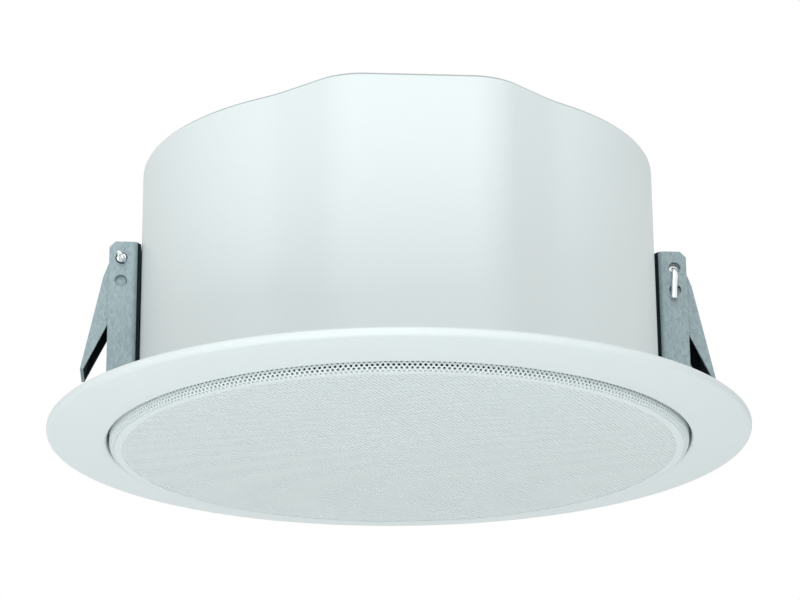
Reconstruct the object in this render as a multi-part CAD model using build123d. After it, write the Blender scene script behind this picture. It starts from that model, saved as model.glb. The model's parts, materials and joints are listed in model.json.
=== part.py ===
from build123d import *
import os
from math import acos, atan2, cos, degrees, pi, radians, sin, tan

os.makedirs("parts", exist_ok=True)

# In-ceiling speaker with two sprung clamps. Millimetres, +Z up into the ceiling void.
# The origin is the centre of the flange's back, which lies against the ceiling.
# The clamps stand at +X and -X, and the can's lobes face -Y and +Y.

# Flange, collar and baffle: one moulding. The flange's radius sets the plan of everything else.
FLANGE_R = 115.0
FLANGE_W = 17.0
FLANGE_EDGE = 2.8
FLANGE_EDGE_BREAK = 1.0
FLANGE_FALL = 2.3
COLLAR_R = FLANGE_R - FLANGE_W
COLLAR_WALL = 2.5
BAFFLE_BACK = 4.5
BAFFLE_T = 2.0

# Grille: a pan of perforated sheet that stands on the baffle inside the collar
GRILLE_GAP = 0.9
GRILLE_T = 0.8
GRILLE_PROUD = 2.0
GRILLE_EDGE_ROUND = 2.2
GRILLE_EDGE_FLATS = 2
GRILLE_HOLE_R = 1.5
GRILLE_HOLE_RINGS = 5
GRILLE_MARGIN = 14.6

# Can, whose lobes keep their share of its radius
CAN_SET_IN = 12.4
CAN_R = COLLAR_R - CAN_SET_IN
CAN_TOP = 89.3
CAN_WALL = 1.0
CAN_EDGE_BREAK = 1.5
LOBE_PROUD = 0.078 * CAN_R
LOBE_FLAT = 0.386 * CAN_R
LOBE_CORNER_R = 0.234 * CAN_R
LOBE_SLOPE = 44.0
LOBE_BLEND_R = 0.7 * CAN_R
CAN_LIP = 3.0
CAN_EAR_R = 5.0
CAN_EAR_OUT = 5.4
CAN_EARS = 4

# Clamp bracket: a folded channel whose web lies against the can
SHEET = 1.2
BRACKET_CAN_GAP = 0.6
BRACKET_W = 18.0
BRACKET_DEPTH = 9.8
BRACKET_TOP = 62.1
BRACKET_CORNER = 2.0
BRACKET_BEND_R = 1.0
FOOT_W = 13.0
FOOT_DEPTH = 7.8
BRACKET_HOLE_R = 2.1
SPARE_HOLE_DROP = 7.8

# Clamp lever: a folded arm, drawn by its distance along and across its own web
PIVOT_OUT = 5.8
PIVOT_Z = 56.3
LEVER_TILT = 12.0
LEVER_SHEET = 1.0
LEVER_SIDE_GAP = 0.1
LEVER_WEB_OUT = 4.4
LEVER_WEB_START = 7.0
LEVER_EAR_R = 3.3
LEVER_TAPER = 12.0
LEVER_TIP_W = 1.8
LEVER_REST_GAP = 18.5

# Pivot pin, a split pin, and torsion spring, drawn with this many flats
HINGE_SIDES = 10
PIN_R = 1.5
PIN_CLEARANCE = 0.1
EYE_R = 2.3
EYE_WIRE = 1.2
EYE_T = 1.5
EYE_TILT = 53.0
TAIL_W = 2.2
TAIL_T = 1.3
TAIL_L = 10.6
WIRE = 0.9
COIL_GAP = 0.35
COIL_L = 9.0
BRACKET_LEG = 5.0
LEVER_LEG = 14.0
HOOK_CLEARANCE = 0.2

# Fasteners, each with few flats
FASTENER_SIDES = 6
FASTENER_CLEARANCE = 0.1
SCREW_R = 1.6
SCREW_HEAD_R = 3.0
SCREW_HEAD_H = 2.0
SCREW_TAIL = 2.0
RIVET_R = 1.6
RIVET_HEAD_R = 2.6
RIVET_HEAD_H = 1.2
RIVET_SPACING = 7.0
RIVET_OUT = 3.7

# Driver: hidden rings are drawn with this many flats
DRIVER_SIDES = 18
BASKET_CAN_GAP = 4.6
BASKET_R = CAN_R - CAN_WALL - BASKET_CAN_GAP
BASKET_RIM_W = 12.0
BASKET_THROAT_R = BASKET_R - BASKET_RIM_W
BASKET_WALL = 1.2
BASKET_SHOULDER = 6.0
BASKET_DEPTH = 32.0
BASKET_WINDOWS = 6
WINDOW_W = 26.0
WINDOW_H = 14.0
DRIVER_SCREWS = 4
LANDING_Z = 26.5
LANDING_W = 5.0
CONE_T = 0.8
CONE_NECK_Z = 23.0
SURROUND_W = 11.0
SURROUND_T = 1.0
SURROUND_RIDGE_W = 7.0
SURROUND_CREST_W = 3.0
SURROUND_RIDGE_H = 3.0
SURROUND_LAP = 4.0
SURROUND_SEAT = 2.5
COIL_FORMER_R = 12.4
COIL_FORMER_T = 0.4
COIL_WINDING_T = 0.5
COIL_WINDING_H = 8.0
GAP_CLEARANCE = 0.5
POLE_CLEARANCE = 0.4
SPIDER_T = 0.7
DUST_CAP_R = 16.0
DUST_CAP_H = 4.0
MAGNET_R = 38.0
MAGNET_BORE_R = 20.0
MAGNET_H = 15.0
TOP_PLATE_INSET = 3.0
TOP_PLATE_T = 5.0
YOKE_INSET = 4.0
YOKE_T = 4.0
GLUE = 0.05
TAG_BOARD = (20.0, 8.0, 1.6)
TAG = (3.0, 6.0, 0.6)
TAG_SPACING = 10.0

# Line transformer, hung under the can's top behind the magnet
TRANSFORMER_Y = 0.75 * CAN_R
CORE = (42.0, 14.0, 34.0)
CORE_LIMB = 12.0
CORE_WINDOW = (8.0, 20.0)
WINDING_T = 7.0
WINDING_CLEARANCE = 0.2
STRAP_T = 1.0
STRAP_W = 12.0
STRAP_FOOT = 9.0
STRAP_GAP = 0.1

# Terminal block and cable inlet at the front of the can's top
TERMINAL_Y = -0.75 * CAN_R
TERMINAL = (32.0, 16.0, 13.0)
TERMINAL_WAYS = 3
TERMINAL_SPACING = 10.0
TERMINAL_BORE_R = 2.2
GROMMET_SIDES = 12
GROMMET_TERMINAL_GAP = 3.6
GROMMET_BORE_R = 4.0
GROMMET_NECK_R = 6.4
GROMMET_FLANGE_R = 8.6
GROMMET_OUTSIDE = 2.2
GROMMET_INSIDE = 1.6
GROMMET_CLEARANCE = 0.1

# Places that several pieces share
RECESS_R = COLLAR_R - COLLAR_WALL
BAFFLE_FRONT = BAFFLE_BACK - BAFFLE_T
FLANGE_FACE = -FLANGE_EDGE - FLANGE_FALL
GRILLE_R = RECESS_R - GRILLE_GAP
GRILLE_FACE = FLANGE_FACE - GRILLE_PROUD
CAN_INSIDE = CAN_TOP - CAN_WALL
EAR_POS = CAN_R + CAN_EAR_OUT
BRACKET_BACK = CAN_R + BRACKET_CAN_GAP
BRACKET_FRONT = BRACKET_BACK + SHEET
BRACKET_OUT = BRACKET_BACK + BRACKET_DEPTH
PIVOT_X = BRACKET_BACK + PIVOT_OUT
FOOT_TOP = BAFFLE_BACK + SHEET
RIVET_X = BRACKET_FRONT + RIVET_OUT
LEVER_W = BRACKET_W - 2 * SHEET - 2 * LEVER_SIDE_GAP
BAFFLE_OPENING_R = BASKET_THROAT_R + SURROUND_SEAT
CONE_R = BASKET_THROAT_R - SURROUND_W
BASKET_BACK_R = MAGNET_R + BASKET_SHOULDER
BASKET_FLANGE_TOP = BAFFLE_BACK + BASKET_WALL
BASKET_BACK = BAFFLE_BACK + BASKET_DEPTH
FORMER_R = COIL_FORMER_R + COIL_FORMER_T
WINDING_R = FORMER_R + COIL_WINDING_T
POLE_R = COIL_FORMER_R - POLE_CLEARANCE
TOP_PLATE_BORE_R = WINDING_R + GAP_CLEARANCE
TOP_PLATE_BACK = BASKET_BACK + TOP_PLATE_T
TOP_PLATE_R = MAGNET_R - TOP_PLATE_INSET
MAGNET_BACK = TOP_PLATE_BACK + MAGNET_H
CORE_TOP = CAN_INSIDE - STRAP_GAP
GROMMET_Y = TERMINAL_Y + TERMINAL[1] / 2 + GROMMET_TERMINAL_GAP + GROMMET_FLANGE_R


def polar(radius, count, start):
    """Places round the axis, the first at the start angle."""
    turns = [radians(start + 360 * i / count) for i in range(count)]
    return [(radius * cos(a), radius * sin(a)) for a in turns]


def prism(radius, sides, z0, z1):
    return Pos(0, 0, z0) * extrude(RegularPolygon(radius, sides), z1 - z0)


def ring(outer, inner, z0, z1):
    return prism(outer, DRIVER_SIDES, z0, z1) - prism(inner, DRIVER_SIDES, z0, z1)


def frustum(wide, narrow, z0, height):
    """A many-sided cone that narrows upwards from z0."""
    slope = degrees(atan2((wide - narrow) * cos(pi / DRIVER_SIDES), height))
    return Pos(0, 0, z0) * extrude(RegularPolygon(wide, DRIVER_SIDES), height, taper=slope)


def screw(seat, tip, head_up):
    """A screw whose head bears on the seat and whose shank runs to the tip."""
    head_end = seat + SCREW_HEAD_H if head_up else seat - SCREW_HEAD_H
    head = prism(SCREW_HEAD_R, FASTENER_SIDES, min(seat, head_end), max(seat, head_end))
    return head + prism(SCREW_R, FASTENER_SIDES, min(seat, tip), max(seat, tip))


def bore(places, radius, z0, z1):
    hole = prism(radius + FASTENER_CLEARANCE, FASTENER_SIDES, z0, z1)
    return Part() + [Pos(x, y, 0) * hole for x, y in places]


def at_places(part, places):
    return Part() + [Pos(x, y, 0) * part for x, y in places]


EAR_PLACES = polar(EAR_POS, CAN_EARS, 45)
DRIVER_PLACES = polar((BASKET_R + BAFFLE_OPENING_R) / 2, DRIVER_SCREWS, 45)
RIVET_PLACES = [(sx * RIVET_X, sy * RIVET_SPACING / 2) for sx in (-1, 1) for sy in (-1, 1)]
STRAP_SCREW_X = CORE[0] / 2 + STRAP_GAP + STRAP_T + STRAP_FOOT / 2
STRAP_PLACES = [(-STRAP_SCREW_X, TRANSFORMER_Y), (STRAP_SCREW_X, TRANSFORMER_Y)]
TERMINAL_PLACES = [(TERMINAL_SPACING * (i - 0.5), TERMINAL_Y) for i in range(2)]


def front_flange():
    points = [
        (COLLAR_R, 0),
        (FLANGE_R, 0),
        (FLANGE_R, -FLANGE_EDGE),
        (RECESS_R, FLANGE_FACE),
        (RECESS_R, BAFFLE_FRONT),
        (0, BAFFLE_FRONT),
        (0, BAFFLE_BACK),
        (COLLAR_R, BAFFLE_BACK),
    ]
    profile = make_face(Polyline(*points, close=True))
    edge = profile.vertices().sort_by_distance((FLANGE_R, -FLANGE_EDGE))[0]
    profile = chamfer(edge, FLANGE_EDGE_BREAK)
    body = revolve(Plane.XZ * profile, Axis.Z)
    body -= prism(BAFFLE_OPENING_R, DRIVER_SIDES, BAFFLE_FRONT, BAFFLE_BACK)
    for places, radius in ((EAR_PLACES, SCREW_R), (DRIVER_PLACES, SCREW_R), (RIVET_PLACES, RIVET_R)):
        body -= bore(places, radius, BAFFLE_FRONT, BAFFLE_BACK)
    return body


def grille():
    inner = GRILLE_R - GRILLE_T
    edge = GRILLE_EDGE_ROUND
    round_x = GRILLE_R - edge
    round_z = GRILLE_FACE + edge
    turns = [pi / 2 * i / GRILLE_EDGE_FLATS for i in range(GRILLE_EDGE_FLATS + 1)]
    rolled_edge = [(round_x + edge * sin(a), round_z - edge * cos(a)) for a in turns]
    points = [
        (0, GRILLE_FACE),
        *rolled_edge,
        (GRILLE_R, BAFFLE_FRONT),
        (inner, BAFFLE_FRONT),
        (inner, round_z),
        (round_x, GRILLE_FACE + GRILLE_T),
        (0, GRILLE_FACE + GRILLE_T),
    ]
    profile = make_face(Polyline(*points, close=True))
    pan = revolve(Plane.XZ * profile, Axis.Z)
    spacing = (GRILLE_R - GRILLE_MARGIN) / GRILLE_HOLE_RINGS
    places = [(0, 0)]
    for i in range(1, GRILLE_HOLE_RINGS + 1):
        places += polar(spacing * i, 6 * i, 0)
    hole = prism(GRILLE_HOLE_R, 6, GRILLE_FACE, GRILLE_FACE + GRILLE_T)
    return pan - at_places(hole, places)


def can_outline(grow):
    """The can's plan, grown outwards: a circle with a bowed lobe blended in at -Y and +Y."""
    circle = CAN_R + grow
    reach = CAN_R + LOBE_PROUD + grow
    corner = LOBE_CORNER_R + grow
    blend = LOBE_BLEND_R - grow
    half = LOBE_FLAT / 2

    def polar_from(centre, radius, angle):
        return (centre[0] + radius * sin(radians(angle)), centre[1] + radius * cos(radians(angle)))

    corner_centre = (half, reach - corner)
    slope_line = half * sin(radians(LOBE_SLOPE)) + (reach - corner) * cos(radians(LOBE_SLOPE)) + corner
    meet = LOBE_SLOPE - degrees(acos((slope_line + blend) / (circle + blend)))
    blend_centre = polar_from((0, 0), circle + blend, meet)
    slope_top = polar_from(corner_centre, corner, LOBE_SLOPE)
    slope_foot = polar_from(blend_centre, -blend, LOBE_SLOPE)
    on_circle = polar_from((0, 0), circle, meet)
    quarter = [
        Line((0, reach), (half, reach)),
        ThreePointArc((half, reach), polar_from(corner_centre, corner, LOBE_SLOPE / 2), slope_top),
        Line(slope_top, slope_foot),
        ThreePointArc(slope_foot, polar_from(blend_centre, -blend, (LOBE_SLOPE + meet) / 2), on_circle),
        ThreePointArc(on_circle, polar_from((0, 0), circle, (90 + meet) / 2), (circle, 0)),
    ]
    half_plan = quarter + [mirror(e, Plane.XZ) for e in quarter]
    return make_face(Curve() + half_plan + [mirror(e, Plane.YZ) for e in half_plan])


def back_can():
    height = CAN_TOP - BAFFLE_BACK
    shell = extrude(can_outline(0), height)
    shell = chamfer(shell.edges().group_by(Axis.Z)[-1], CAN_EDGE_BREAK)
    hollow = extrude(can_outline(-CAN_WALL), height - CAN_WALL)
    lip_plan = can_outline(CAN_LIP)
    lip_plan += [Pos(x, y) * Circle(CAN_EAR_R) for x, y in EAR_PLACES]
    lip_plan -= can_outline(-CAN_WALL / 2)
    lip_plan -= Rectangle(4 * BRACKET_OUT, BRACKET_W + 2 * SHEET)
    lip = extrude(lip_plan, CAN_WALL)
    can = Pos(0, 0, BAFFLE_BACK) * (shell - hollow + lip)
    can -= bore(EAR_PLACES, SCREW_R, BAFFLE_BACK, BAFFLE_BACK + CAN_WALL)
    can -= bore(STRAP_PLACES + TERMINAL_PLACES, SCREW_R, CAN_INSIDE, CAN_TOP)
    neck = prism(GROMMET_NECK_R + GROMMET_CLEARANCE, GROMMET_SIDES, CAN_INSIDE, CAN_TOP)
    return can - Pos(0, GROMMET_Y, 0) * neck


def rod(radius, y0, y1):
    """A round bar about the pivot's line, between two distances along Y."""
    return Rot(-90, 0, 0) * prism(radius, HINGE_SIDES, y0, y1)


def across(radius, z):
    """A round hole through the clamp from side to side."""
    return Pos(PIVOT_X, 0, z) * rod(radius, -BRACKET_W, BRACKET_W)


def clamp_bracket():
    depth = BRACKET_OUT - BRACKET_BACK
    outer = Pos(BRACKET_BACK + depth / 2, 0) * Rectangle(depth, BRACKET_W)
    outer = fillet(outer.vertices().group_by(Axis.X)[0], BRACKET_BEND_R + SHEET)
    inner = Pos(BRACKET_FRONT + depth / 2, 0) * Rectangle(depth, BRACKET_W - 2 * SHEET)
    inner = fillet(inner.vertices().group_by(Axis.X)[0], BRACKET_BEND_R)
    channel = Pos(0, 0, BAFFLE_BACK) * extrude(outer - inner, BRACKET_TOP - BAFFLE_BACK)
    corners = channel.edges().filter_by(Axis.Y).group_by(Axis.Z)[-1].group_by(Axis.X)[-1]
    channel = chamfer(corners, BRACKET_CORNER)
    foot = Pos(BRACKET_FRONT + FOOT_DEPTH / 2, 0, BAFFLE_BACK + SHEET / 2) * Box(FOOT_DEPTH, FOOT_W, SHEET)
    bracket = channel + foot
    bracket -= across(BRACKET_HOLE_R, PIVOT_Z)
    bracket -= across(BRACKET_HOLE_R, PIVOT_Z - SPARE_HOLE_DROP)
    return bracket - bore(RIVET_PLACES, RIVET_R, BAFFLE_BACK, FOOT_TOP)


def on_lever(out, along):
    """A point of the lever's side view, out from the pivot across its web and along it."""
    tilt = radians(LEVER_TILT)
    x = PIVOT_X + out * cos(tilt) + along * sin(tilt)
    return (x, PIVOT_Z + out * sin(tilt) - along * cos(tilt))


def side_slab(points, y0, y1):
    """A slab between two distances along Y, from points of the side view."""
    face = Plane.XZ * make_face(Polyline(*points, close=True))
    return Pos(0, y1, 0) * extrude(face, y1 - y0)


def clamp_lever():
    half = LEVER_W / 2
    tip = (PIVOT_Z - LEVER_REST_GAP) / cos(radians(LEVER_TILT)) + LEVER_WEB_OUT
    tip_inside = LEVER_WEB_OUT - LEVER_TIP_W
    taper_run = (tip_inside + LEVER_EAR_R) / tan(radians(LEVER_TAPER))
    cheek_points = [
        on_lever(LEVER_EAR_R, 0),
        on_lever(LEVER_WEB_OUT, LEVER_WEB_START),
        on_lever(LEVER_WEB_OUT, tip),
        on_lever(tip_inside, tip),
        on_lever(-LEVER_EAR_R, tip - taper_run),
        on_lever(-LEVER_EAR_R, 0),
    ]
    lever = Part()
    for y0 in (-half, half - LEVER_SHEET):
        lever += side_slab(cheek_points, y0, y0 + LEVER_SHEET)
        lever += Pos(PIVOT_X, 0, PIVOT_Z) * rod(LEVER_EAR_R, y0, y0 + LEVER_SHEET)
    web_points = [
        on_lever(LEVER_WEB_OUT, LEVER_WEB_START),
        on_lever(LEVER_WEB_OUT, tip),
        on_lever(LEVER_WEB_OUT - LEVER_SHEET, tip),
        on_lever(LEVER_WEB_OUT - LEVER_SHEET, LEVER_WEB_START),
    ]
    lever += side_slab(web_points, -half, half)
    lever -= across(PIN_R + PIN_CLEARANCE, PIVOT_Z)
    lever -= spring_hook(HOOK_CLEARANCE)
    below = Pos(PIVOT_X, 0, LEVER_REST_GAP - PIVOT_Z / 2) * Box(2 * PIVOT_Z, 2 * BRACKET_W, PIVOT_Z)
    return lever - below


def pivot_pin():
    """A split pin with its eye at one end and a leg bent down at the other."""
    half = BRACKET_W / 2
    shank = rod(PIN_R, -half, half + EYE_WIRE)
    eye = prism(EYE_R, HINGE_SIDES, -EYE_T / 2, EYE_T / 2)
    shank -= Pos(0, half + EYE_R, 0) * Rot(0, -EYE_TILT, 0) * eye
    eye -= prism(EYE_R - EYE_WIRE, HINGE_SIDES, -EYE_T / 2, EYE_T / 2)
    head = Pos(0, half + EYE_R, 0) * Rot(0, -EYE_TILT, 0) * eye
    tail = Pos(0, -half - TAIL_T / 2, PIN_R - (TAIL_L + PIN_R) / 2) * Box(TAIL_W, TAIL_T, TAIL_L + PIN_R)
    tail = chamfer(tail.edges().filter_by(Axis.Y), TAIL_W / 3)
    return Pos(PIVOT_X, 0, PIVOT_Z) * (shank + head + tail)


def spring_hook(grow):
    """The bent end of the spring's leg, which passes through the lever's web."""
    points = [
        on_lever(0, LEVER_LEG - WIRE - grow),
        on_lever(LEVER_WEB_OUT, LEVER_LEG - WIRE - grow),
        on_lever(LEVER_WEB_OUT, LEVER_LEG + grow),
        on_lever(0, LEVER_LEG + grow),
    ]
    y1 = -COIL_L / 2 + WIRE
    return side_slab(points, y1 - WIRE - grow, y1 + grow)


def clamp_spring():
    """The coil, a leg up the bracket's web and a hooked leg down inside the lever."""
    inner = PIN_R + COIL_GAP
    coil = rod(inner + WIRE, -COIL_L / 2, COIL_L / 2) - rod(inner, -COIL_L / 2, COIL_L / 2)
    up = Pos(-inner - WIRE / 2, COIL_L / 2 - WIRE / 2, BRACKET_LEG / 2) * Box(WIRE, WIRE, BRACKET_LEG)
    web_inside = LEVER_WEB_OUT - LEVER_SHEET - GLUE
    straight = LEVER_LEG - 2 * WIRE
    leg_points = [
        on_lever(inner, 0),
        on_lever(inner + WIRE, 0),
        on_lever(web_inside, straight),
        on_lever(web_inside, LEVER_LEG),
        on_lever(web_inside - WIRE, LEVER_LEG),
        on_lever(web_inside - WIRE, straight),
    ]
    leg = side_slab(leg_points, -COIL_L / 2, -COIL_L / 2 + WIRE)
    hook = spring_hook(0) - side_slab([on_lever(0, 0), on_lever(web_inside, 0),
                                       on_lever(web_inside, 2 * LEVER_LEG), on_lever(0, 2 * LEVER_LEG)],
                                      -COIL_L, COIL_L)
    bored = across(inner, PIVOT_Z)
    return Pos(PIVOT_X, 0, PIVOT_Z) * (coil + up) + (leg - bored) + hook


def bracket_rivets():
    shank = prism(RIVET_R, FASTENER_SIDES, BAFFLE_FRONT, FOOT_TOP)
    head = prism(RIVET_HEAD_R, FASTENER_SIDES, FOOT_TOP, FOOT_TOP + RIVET_HEAD_H)
    tail = prism(RIVET_HEAD_R, FASTENER_SIDES, BAFFLE_FRONT - RIVET_HEAD_H, BAFFLE_FRONT)
    return at_places(shank + head + tail, RIVET_PLACES)


def can_screws():
    seat = BAFFLE_BACK + CAN_WALL
    return at_places(screw(seat, BAFFLE_FRONT - SCREW_TAIL, True), EAR_PLACES)


def driver_screws():
    return at_places(screw(BAFFLE_FRONT, BASKET_FLANGE_TOP + SCREW_TAIL, False), DRIVER_PLACES)


def basket_radius(z):
    """The outside of the basket's tapered wall at a height."""
    share = (z - BASKET_FLANGE_TOP) / (BASKET_BACK - BASKET_FLANGE_TOP)
    return BASKET_THROAT_R + share * (BASKET_BACK_R - BASKET_THROAT_R)


def driver_basket():
    inner_throat = BASKET_THROAT_R - 2 * BASKET_WALL
    inner_back = BASKET_BACK - BASKET_WALL
    body = ring(BASKET_R, inner_throat, BAFFLE_BACK, BASKET_FLANGE_TOP)
    body += frustum(BASKET_THROAT_R, BASKET_BACK_R, BASKET_FLANGE_TOP, BASKET_BACK - BASKET_FLANGE_TOP)
    inside_back = basket_radius(inner_back) - 2 * BASKET_WALL
    body -= frustum(inner_throat, inside_back, BASKET_FLANGE_TOP, inner_back - BASKET_FLANGE_TOP)
    body -= prism(TOP_PLATE_BORE_R + BASKET_WALL, DRIVER_SIDES, inner_back, BASKET_BACK)
    window_z = (BASKET_FLANGE_TOP + LANDING_Z) / 2
    window = Pos(BASKET_THROAT_R, 0, window_z) * Box(BASKET_THROAT_R, WINDOW_W, WINDOW_H)
    for i in range(BASKET_WINDOWS):
        body -= Rot(0, 0, 360 * i / BASKET_WINDOWS) * window
    outside = basket_radius(LANDING_Z + BASKET_WALL) - BASKET_WALL / 2
    inside = basket_radius(LANDING_Z) - 2 * BASKET_WALL - LANDING_W
    body += ring(outside, inside, LANDING_Z, LANDING_Z + BASKET_WALL)
    return body - bore(DRIVER_PLACES, SCREW_R, BAFFLE_BACK, BASKET_FLANGE_TOP)


def surround():
    seat_r = BAFFLE_OPENING_R - GLUE
    bottom = BAFFLE_BACK - SURROUND_T
    body = ring(seat_r, CONE_R - SURROUND_LAP, bottom, BAFFLE_BACK)
    ridge_r = (CONE_R + BASKET_THROAT_R - SURROUND_LAP) / 2
    foot, crest = SURROUND_RIDGE_W / 2, SURROUND_CREST_W / 2
    roll = Pos(0, 0, bottom) * Rot(180, 0, 0) * frustum(ridge_r + foot, ridge_r + crest, 0, SURROUND_RIDGE_H)
    roll -= frustum(ridge_r - crest, ridge_r - foot, bottom - SURROUND_RIDGE_H, SURROUND_RIDGE_H)
    return body + roll


def cone():
    neck = FORMER_R + GLUE
    run = CONE_NECK_Z - BAFFLE_BACK
    outside = frustum(CONE_R, neck + CONE_T, BAFFLE_BACK, run)
    return outside - frustum(CONE_R - CONE_T, neck, BAFFLE_BACK, run)


def dust_cap():
    share = (CONE_R - CONE_T - DUST_CAP_R) / (CONE_R - CONE_T - FORMER_R)
    seat = BAFFLE_BACK + share * (CONE_NECK_Z - BAFFLE_BACK) - CONE_T
    return Pos(0, 0, seat) * Rot(180, 0, 0) * frustum(DUST_CAP_R, DUST_CAP_R / 2, 0, DUST_CAP_H)


def voice_coil():
    middle = BASKET_BACK + TOP_PLATE_T / 2
    top = middle + COIL_WINDING_H / 2
    former = ring(FORMER_R, COIL_FORMER_R, CONE_NECK_Z - 2 * CONE_T, top)
    return former + ring(WINDING_R, FORMER_R, top - COIL_WINDING_H, top)


def spider():
    outside = basket_radius(LANDING_Z) - 2 * BASKET_WALL - GLUE
    return ring(outside, FORMER_R + GLUE, LANDING_Z - SPIDER_T, LANDING_Z)


def top_plate():
    return ring(TOP_PLATE_R, TOP_PLATE_BORE_R, BASKET_BACK, TOP_PLATE_BACK)


def ferrite_magnet():
    return ring(MAGNET_R, MAGNET_BORE_R, TOP_PLATE_BACK, MAGNET_BACK)


def pole_yoke():
    plate = prism(MAGNET_R - YOKE_INSET, DRIVER_SIDES, MAGNET_BACK, MAGNET_BACK + YOKE_T)
    return plate + prism(POLE_R, DRIVER_SIDES, BASKET_BACK, MAGNET_BACK)


def tag_board():
    board_y = TOP_PLATE_R + TAG_BOARD[1] / 2
    board = Pos(0, board_y, BASKET_BACK + TAG_BOARD[2] / 2) * Box(*TAG_BOARD)
    tag_z = BASKET_BACK + TAG_BOARD[2] + TAG[1] / 2
    tags = [Pos(sx * TAG_SPACING / 2, board_y, tag_z) * Box(TAG[0], TAG[2], TAG[1]) for sx in (-1, 1)]
    return board + tags


def transformer_core():
    core = Box(*CORE)
    window = Box(CORE_WINDOW[0], CORE[1], CORE_WINDOW[1])
    offset = (CORE_LIMB + CORE_WINDOW[0]) / 2
    core -= [Pos(-offset, 0, 0) * window, Pos(offset, 0, 0) * window]
    return Pos(0, TRANSFORMER_Y, CORE_TOP - CORE[2] / 2) * core


def transformer_winding():
    width = CORE_LIMB + 2 * CORE_WINDOW[0] - 2 * WINDING_CLEARANCE
    height = CORE_WINDOW[1] - 2 * WINDING_CLEARANCE
    block = Box(width, CORE[1] + 2 * WINDING_T, height)
    block = chamfer(block.edges().filter_by(Axis.Z), WINDING_T / 3)
    limb = Box(CORE_LIMB + 2 * WINDING_CLEARANCE, CORE[1] + 2 * WINDING_CLEARANCE, height)
    return Pos(0, TRANSFORMER_Y, CORE_TOP - CORE[2] / 2) * (block - limb)


def transformer_strap():
    """A channel round the core with a foot at each side against the can's top."""
    inside = CORE[0] + 2 * STRAP_GAP
    drop = CORE[2] + STRAP_GAP + STRAP_T
    outer = Box(inside + 2 * STRAP_T, STRAP_W, drop)
    inner = Pos(0, 0, STRAP_T / 2) * Box(inside, STRAP_W, drop - STRAP_T)
    feet = Pos(0, 0, (drop - STRAP_T) / 2) * Box(2 * STRAP_SCREW_X + STRAP_FOOT, STRAP_W, STRAP_T)
    gap = Pos(0, 0, (drop - STRAP_T) / 2) * Box(inside, STRAP_W, STRAP_T)
    strap = Pos(0, TRANSFORMER_Y, CAN_INSIDE - drop / 2) * (outer - inner + (feet - gap))
    return strap - bore(STRAP_PLACES, SCREW_R, CAN_INSIDE - STRAP_T, CAN_INSIDE)


def transformer_screws():
    return at_places(screw(CAN_TOP, CAN_INSIDE - STRAP_T - SCREW_TAIL, True), STRAP_PLACES)


def terminal_block():
    block = Box(*TERMINAL)
    for i in range(TERMINAL_WAYS):
        x = TERMINAL_SPACING * (i - (TERMINAL_WAYS - 1) / 2)
        way = prism(TERMINAL_BORE_R, FASTENER_SIDES, -TERMINAL[1], TERMINAL[1])
        block -= Pos(x, 0, -TERMINAL[2] / 4) * Rot(90, 0, 0) * way
    block = Pos(0, TERMINAL_Y, CAN_INSIDE - TERMINAL[2] / 2) * block
    return block - bore(TERMINAL_PLACES, SCREW_R, CAN_INSIDE - 2 * SCREW_TAIL, CAN_INSIDE)


def terminal_screws():
    return at_places(screw(CAN_TOP, CAN_INSIDE - 2 * SCREW_TAIL, True), TERMINAL_PLACES)


def cable_grommet():
    bottom = CAN_INSIDE - GROMMET_INSIDE
    top = CAN_TOP + GROMMET_OUTSIDE
    body = prism(GROMMET_NECK_R, GROMMET_SIDES, bottom, top)
    body += prism(GROMMET_FLANGE_R, GROMMET_SIDES, bottom, CAN_INSIDE)
    body += prism(GROMMET_FLANGE_R, GROMMET_SIDES, CAN_TOP, top)
    body -= Pos(0, 0, bottom) * extrude(Circle(GROMMET_BORE_R), top - bottom)
    return Pos(0, GROMMET_Y, 0) * body


def other_side(part):
    return Rot(0, 0, 180) * part


bracket, lever, pin, spring = clamp_bracket(), clamp_lever(), pivot_pin(), clamp_spring()

nodes = {
    "front_flange": front_flange(),
    "grille": grille(),
    "back_can": back_can(),
    "clamp_bracket_right": bracket,
    "clamp_bracket_left": other_side(bracket),
    "clamp_lever_right": lever,
    "clamp_lever_left": other_side(lever),
    "pivot_pin_right": pin,
    "pivot_pin_left": other_side(pin),
    "clamp_spring_right": spring,
    "clamp_spring_left": other_side(spring),
    "bracket_rivets": bracket_rivets(),
    "can_screws": can_screws(),
    "driver_screws": driver_screws(),
    "driver_basket": driver_basket(),
    "surround": surround(),
    "cone": cone(),
    "dust_cap": dust_cap(),
    "voice_coil": voice_coil(),
    "spider": spider(),
    "top_plate": top_plate(),
    "ferrite_magnet": ferrite_magnet(),
    "pole_yoke": pole_yoke(),
    "tag_board": tag_board(),
    "transformer_core": transformer_core(),
    "transformer_winding": transformer_winding(),
    "transformer_strap": transformer_strap(),
    "transformer_screws": transformer_screws(),
    "terminal_block": terminal_block(),
    "terminal_screws": terminal_screws(),
    "cable_grommet": cable_grommet(),
}

for name, part in nodes.items():
    export_step(part, f"parts/{name}.step")
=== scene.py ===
import json
from math import cos, pi, radians, sin, tau

import bmesh
import bpy
import numpy as np
from mathutils import Matrix, Vector


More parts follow.
